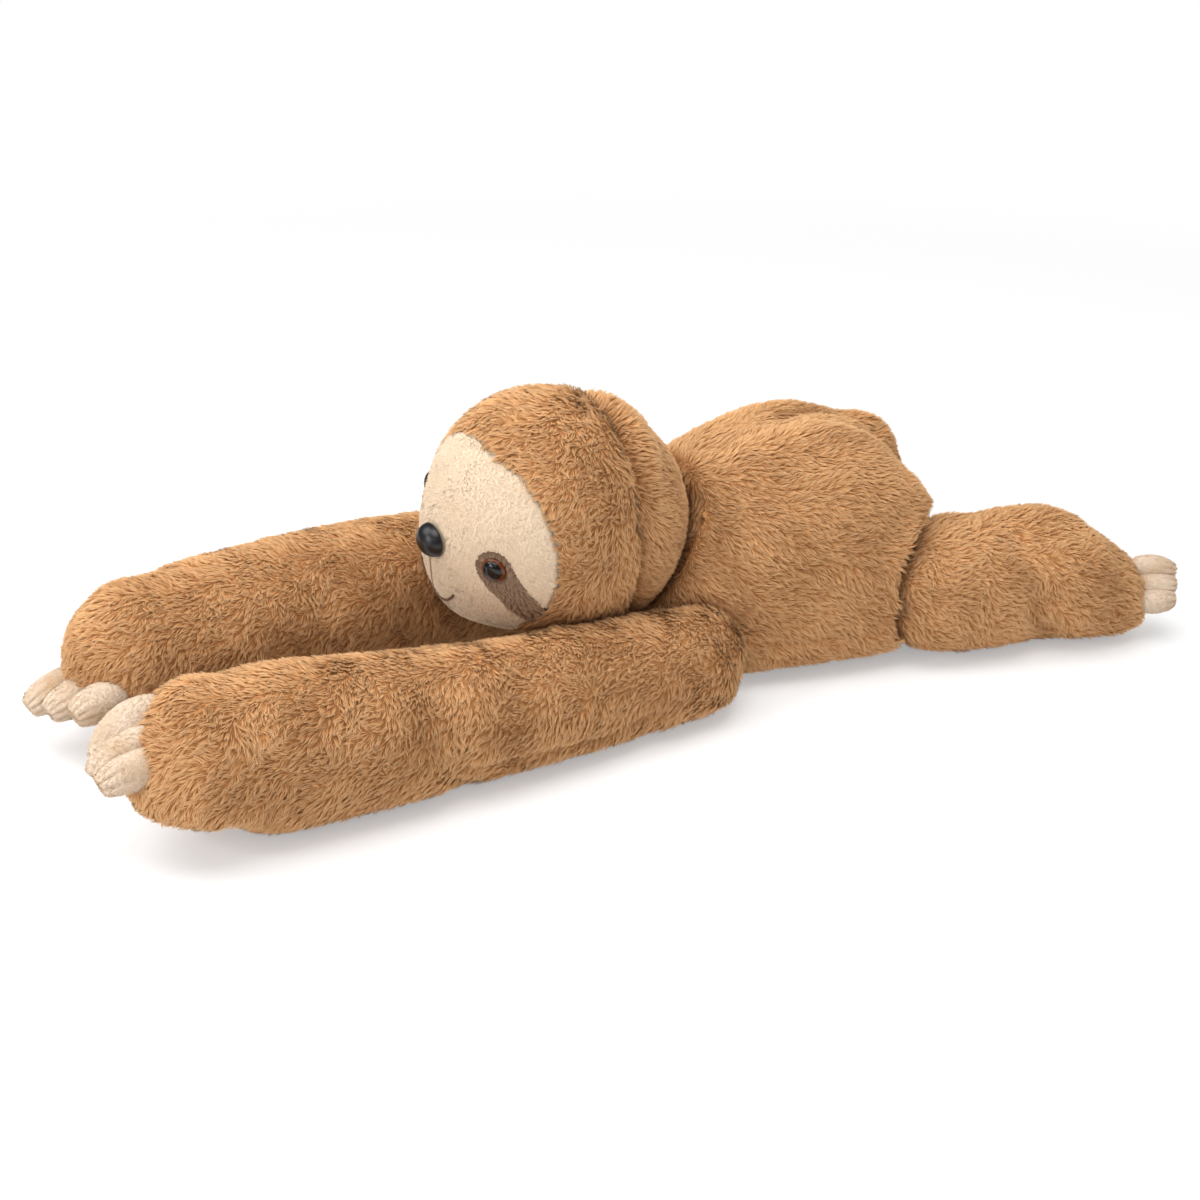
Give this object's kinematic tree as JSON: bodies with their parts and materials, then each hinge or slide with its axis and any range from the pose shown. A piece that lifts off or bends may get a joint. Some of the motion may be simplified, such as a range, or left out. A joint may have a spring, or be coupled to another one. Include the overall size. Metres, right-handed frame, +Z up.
{
  "type": "plush sloth",
  "caption": "Soft plush sloth lying on its belly with long arms stretched ahead, cream face, brown eye patches and cream claws.",
  "frame": {"origin": "middle of the toy's bounding box footprint, on the surface it lies on", "axes": "+Z up, the face looks towards -Y, the toy's own left side is +X"},
  "size_m": [0.334, 0.7204, 0.2023],
  "materials": {
    "fur": "tan brown long-pile faux fur",
    "face_plush": "cream short-pile plush",
    "patch_plush": "taupe brown short-pile plush",
    "claw_plush": "pale cream velboa",
    "fibrefill": "white polyester fibrefill",
    "black_plastic": "polished black",
    "brown_plastic": "polished dark brown",
    "washer_plastic": "natural white, moulded",
    "thread": "brown embroidery thread"
  },
  "bodies": {
    "torso": {"torso_belly_panel": "fur", "torso_back_left": "fur", "torso_back_right": "fur", "torso_stuffing": "fibrefill"},
    "head": {"head_crown": "fur", "neck_roll": "fur", "head_stuffing": "fibrefill", "face_mask": "face_plush", "eye_patch_left": "patch_plush", "eye_patch_right": "patch_plush", "eye_iris_left": "brown_plastic", "eye_iris_right": "brown_plastic", "eye_pupil_left": "black_plastic", "eye_pupil_right": "black_plastic", "nose": "black_plastic", "nose_washer": "washer_plastic", "eye_washer_left": "washer_plastic", "eye_washer_right": "washer_plastic", "philtrum_stitch": "thread", "smile_stitch": "thread"},
    "arm_left": {"arm_left_upper_panel": "fur", "arm_left_under_panel": "fur", "arm_left_stuffing": "fibrefill", "arm_left_claw_1": "claw_plush", "arm_left_claw_2": "claw_plush", "arm_left_claw_3": "claw_plush"},
    "arm_right": {"arm_right_upper_panel": "fur", "arm_right_under_panel": "fur", "arm_right_stuffing": "fibrefill", "arm_right_claw_1": "claw_plush", "arm_right_claw_2": "claw_plush", "arm_right_claw_3": "claw_plush"},
    "leg_left": {"leg_left_upper_panel": "fur", "leg_left_under_panel": "fur", "leg_left_stuffing": "fibrefill", "leg_left_toe_1": "claw_plush", "leg_left_toe_2": "claw_plush", "leg_left_toe_3": "claw_plush"},
    "leg_right": {"leg_right_upper_panel": "fur", "leg_right_under_panel": "fur", "leg_right_stuffing": "fibrefill", "leg_right_toe_1": "claw_plush", "leg_right_toe_2": "claw_plush", "leg_right_toe_3": "claw_plush"}
  },
  "joints": [
    {"name": "neck_nod", "type": "hinge", "parent": "torso", "child": "head", "pos_m": [0.01614, -0.02983, 0.114], "axis": [-1, 0, 0], "range_deg": [0, 25]},
    {"name": "shoulder_left", "type": "hinge", "parent": "torso", "child": "arm_left", "pos_m": [0.08814, 0.01617, 0.036], "axis": [0, 0, 1], "range_deg": [0, 70]},
    {"name": "shoulder_right", "type": "hinge", "parent": "torso", "child": "arm_right", "pos_m": [-0.05586, 0.01617, 0.036], "axis": [0, 0, -1], "range_deg": [0, 65]},
    {"name": "hip_left", "type": "hinge", "parent": "torso", "child": "leg_left", "pos_m": [0.09314, 0.20417, 0.0485], "axis": [0, 0, -1], "range_deg": [0, 35]},
    {"name": "hip_right", "type": "hinge", "parent": "torso", "child": "leg_right", "pos_m": [-0.06086, 0.20417, 0.0485], "axis": [0, 0, 1], "range_deg": [-14, 21]}
  ]
}
